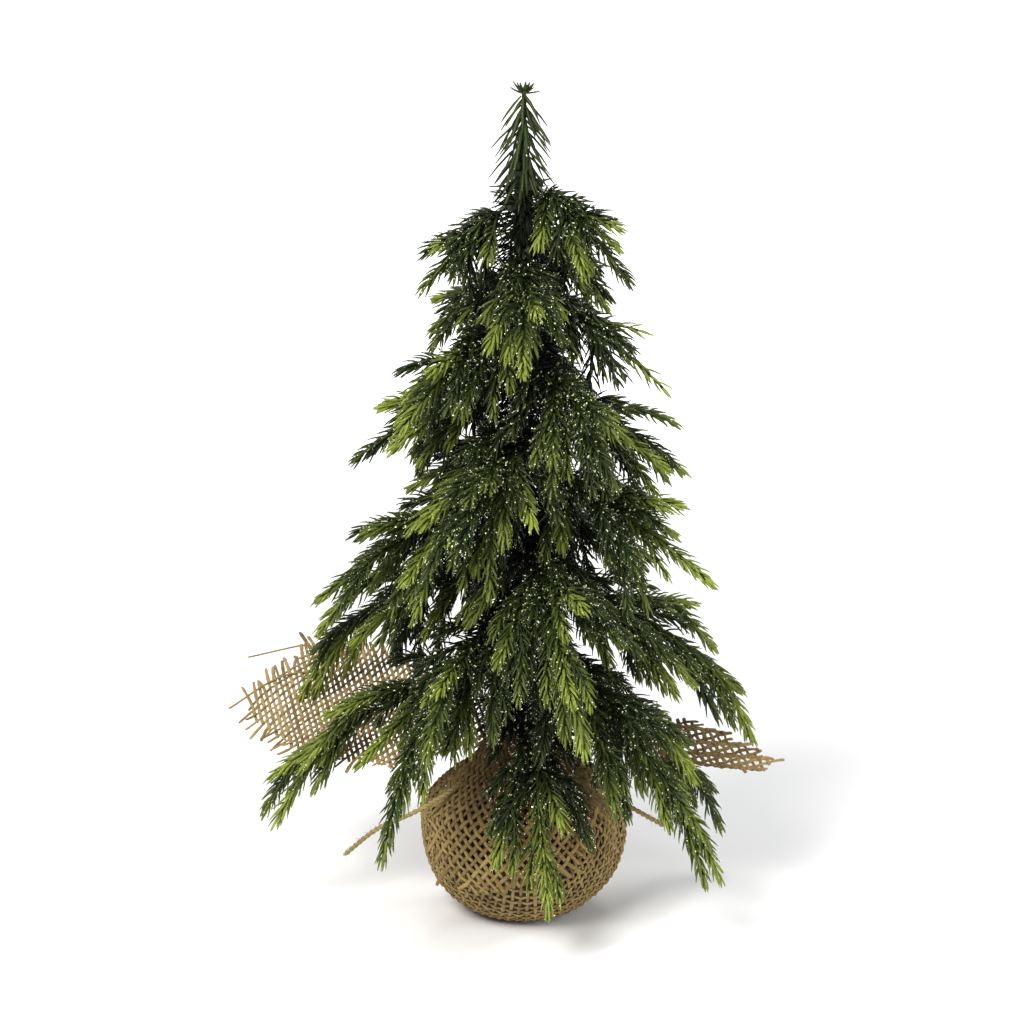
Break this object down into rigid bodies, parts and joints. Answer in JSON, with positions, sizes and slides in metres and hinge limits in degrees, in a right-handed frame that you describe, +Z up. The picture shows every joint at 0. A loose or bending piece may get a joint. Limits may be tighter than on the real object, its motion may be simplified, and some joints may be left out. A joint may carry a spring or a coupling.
{
  "type": "artificial tabletop tree",
  "caption": "Small artificial fir tree with bendable branches of moulded needle sprigs, in a weighted pot wrapped in burlap and tied with twine.",
  "frame": {"origin": "centre of the flat underside of the burlap-wrapped pot, on the trunk's centre line", "axes": "+Z up along the trunk, -Y toward the front, +X to the right seen from the front"},
  "size_m": [0.1859, 0.1533, 0.3],
  "materials": {
    "burlap": "open plain weave of jute yarn",
    "jute": "two-ply twisted twine",
    "pot": "matte brown",
    "plaster": "chalky cast plaster",
    "rod": "plain drawn rod",
    "tape": "dark green wound tape",
    "wire": "dark green coated iron wire",
    "needles": "moulded polyethylene, half matte"
  },
  "bodies": {
    "trunk": {"burlap_wrap": "burlap", "pot": "pot", "base_weight": "plaster", "twine": "jute", "trunk_rod": "rod", "trunk_tape": "tape"},
    "leader": {"leader_wire": "wire", "leader_sprig": "needles"},
    "branch_01": {"branch_wire_01": "wire", "sprigs_01": "needles"},
    "branch_02": {"branch_wire_02": "wire", "sprigs_02": "needles"},
    "branch_03": {"branch_wire_03": "wire", "sprigs_03": "needles"},
    "branch_04": {"branch_wire_04": "wire", "sprigs_04": "needles"},
    "branch_05": {"branch_wire_05": "wire", "sprigs_05": "needles"},
    "branch_06": {"branch_wire_06": "wire", "sprigs_06": "needles"},
    "branch_07": {"branch_wire_07": "wire", "sprigs_07": "needles"},
    "branch_08": {"branch_wire_08": "wire", "sprigs_08": "needles"},
    "branch_09": {"branch_wire_09": "wire", "sprigs_09": "needles"},
    "branch_10": {"branch_wire_10": "wire", "sprigs_10": "needles"},
    "branch_11": {"branch_wire_11": "wire", "sprigs_11": "needles"},
    "branch_12": {"branch_wire_12": "wire", "sprigs_12": "needles"},
    "branch_13": {"branch_wire_13": "wire", "sprigs_13": "needles"},
    "branch_14": {"branch_wire_14": "wire", "sprigs_14": "needles"},
    "branch_15": {"branch_wire_15": "wire", "sprigs_15": "needles"},
    "branch_16": {"branch_wire_16": "wire", "sprigs_16": "needles"},
    "branch_17": {"branch_wire_17": "wire", "sprigs_17": "needles"},
    "branch_18": {"branch_wire_18": "wire", "sprigs_18": "needles"},
    "branch_19": {"branch_wire_19": "wire", "sprigs_19": "needles"},
    "branch_20": {"branch_wire_20": "wire", "sprigs_20": "needles"},
    "branch_21": {"branch_wire_21": "wire", "sprigs_21": "needles"},
    "branch_22": {"branch_wire_22": "wire", "sprigs_22": "needles"},
    "branch_23": {"branch_wire_23": "wire", "sprigs_23": "needles"},
    "branch_24": {"branch_wire_24": "wire", "sprigs_24": "needles"},
    "branch_25": {"branch_wire_25": "wire", "sprigs_25": "needles"}
  },
  "joints": [
    {"name": "bend_01", "type": "hinge", "parent": "trunk", "child": "branch_01", "pos_m": [0.00072, -0.00515, 0.084], "axis": [-0.9903, -0.1392, 0], "range_deg": [-2, 13]},
    {"name": "bend_02", "type": "hinge", "parent": "trunk", "child": "branch_02", "pos_m": [0.00448, 0.00264, 0.09158], "axis": [0.5077, -0.8616, 0], "range_deg": [-5, 16]},
    {"name": "bend_03", "type": "hinge", "parent": "trunk", "child": "branch_03", "pos_m": [-0.00518, -0.00045, 0.09917], "axis": [-0.0874, 0.9962, 0], "range_deg": [-6, 13]},
    {"name": "bend_04", "type": "hinge", "parent": "trunk", "child": "branch_04", "pos_m": [0.00401, -0.00331, 0.10675], "axis": [-0.6358, -0.7719, 0], "range_deg": [-4, 20]},
    {"name": "bend_05", "type": "hinge", "parent": "trunk", "child": "branch_05", "pos_m": [-0.00018, 0.0052, 0.11433], "axis": [0.9994, 0.0355, 0], "range_deg": [-12, 20]},
    {"name": "bend_06", "type": "hinge", "parent": "trunk", "child": "branch_06", "pos_m": [-0.00294, -0.00429, 0.12192], "axis": [-0.8245, 0.5658, 0], "range_deg": [-5, 16]},
    {"name": "bend_07", "type": "hinge", "parent": "trunk", "child": "branch_07", "pos_m": [0.00516, 0.00064, 0.1295], "axis": [0.1227, -0.9924, 0], "range_deg": [-12, 20]},
    {"name": "bend_08", "type": "hinge", "parent": "trunk", "child": "branch_08", "pos_m": [-0.00484, 0.0019, 0.13708], "axis": [0.3656, 0.9308, 0], "range_deg": [-6, 18]},
    {"name": "bend_09", "type": "hinge", "parent": "trunk", "child": "branch_09", "pos_m": [0.00109, -0.00509, 0.14467], "axis": [-0.9779, -0.209, 0], "range_deg": [-12, 20]},
    {"name": "bend_10", "type": "hinge", "parent": "trunk", "child": "branch_10", "pos_m": [0.00263, 0.00448, 0.15225], "axis": [0.8623, -0.5065, 0], "range_deg": [-12, 20]},
    {"name": "bend_11", "type": "hinge", "parent": "trunk", "child": "branch_11", "pos_m": [-0.00497, -0.00153, 0.15983], "axis": [-0.2937, 0.9559, 0], "range_deg": [-12, 20]},
    {"name": "bend_12", "type": "hinge", "parent": "trunk", "child": "branch_12", "pos_m": [0.0047, -0.00223, 0.16742], "axis": [-0.4291, -0.9032, 0], "range_deg": [-12, 20]},
    {"name": "bend_13", "type": "hinge", "parent": "trunk", "child": "branch_13", "pos_m": [-0.00245, 0.00459, 0.175], "axis": [0.8822, 0.471, 0], "range_deg": [-12, 20]},
    {"name": "bend_14", "type": "hinge", "parent": "trunk", "child": "branch_14", "pos_m": [-0.00181, -0.00487, 0.18258], "axis": [-0.9373, 0.3485, 0], "range_deg": [-12, 20]},
    {"name": "bend_15", "type": "hinge", "parent": "trunk", "child": "branch_15", "pos_m": [0.00463, 0.00237, 0.19017], "axis": [0.4557, -0.8901, 0], "range_deg": [-12, 20]},
    {"name": "bend_16", "type": "hinge", "parent": "trunk", "child": "branch_16", "pos_m": [-0.00501, 0.00138, 0.19775], "axis": [0.2652, 0.9642, 0], "range_deg": [-12, 20]},
    {"name": "bend_17", "type": "hinge", "parent": "trunk", "child": "branch_17", "pos_m": [0.00277, -0.0044, 0.20533], "axis": [-0.8469, -0.5318, 0], "range_deg": [-12, 20]},
    {"name": "bend_18", "type": "hinge", "parent": "trunk", "child": "branch_18", "pos_m": [0.00094, 0.00512, 0.21292], "axis": [0.9837, -0.1799, 0], "range_deg": [-12, 20]},
    {"name": "bend_19", "type": "hinge", "parent": "trunk", "child": "branch_19", "pos_m": [-0.00415, -0.00314, 0.2205], "axis": [-0.6038, 0.7971, 0], "range_deg": [-12, 20]},
    {"name": "bend_20", "type": "hinge", "parent": "trunk", "child": "branch_20", "pos_m": [0.00518, -0.00048, 0.22808], "axis": [-0.0932, -0.9956, 0], "range_deg": [-12, 20]},
    {"name": "bend_21", "type": "hinge", "parent": "trunk", "child": "branch_21", "pos_m": [-0.00349, 0.00385, 0.23567], "axis": [0.7413, 0.6712, 0], "range_deg": [-12, 20]},
    {"name": "bend_22", "type": "hinge", "parent": "trunk", "child": "branch_22", "pos_m": [-0.00003, -0.0052, 0.24325], "axis": [-1, 0.0058, 0], "range_deg": [-12, 20]},
    {"name": "bend_23", "type": "hinge", "parent": "trunk", "child": "branch_23", "pos_m": [0.00353, 0.00381, 0.25083], "axis": [0.7334, -0.6797, 0], "range_deg": [-12, 20]},
    {"name": "bend_24", "type": "hinge", "parent": "trunk", "child": "branch_24", "pos_m": [-0.00518, -0.00042, 0.25842], "axis": [-0.0817, 0.9967, 0], "range_deg": [-12, 20]},
    {"name": "bend_25", "type": "hinge", "parent": "trunk", "child": "branch_25", "pos_m": [0.00411, -0.00319, 0.266], "axis": [-0.613, -0.7901, 0], "range_deg": [-12, 20]},
    {"name": "bend_leader", "type": "hinge", "parent": "trunk", "child": "leader", "pos_m": [0, 0, 0.273], "axis": [1, 0, 0], "range_deg": [-20, 20]}
  ]
}
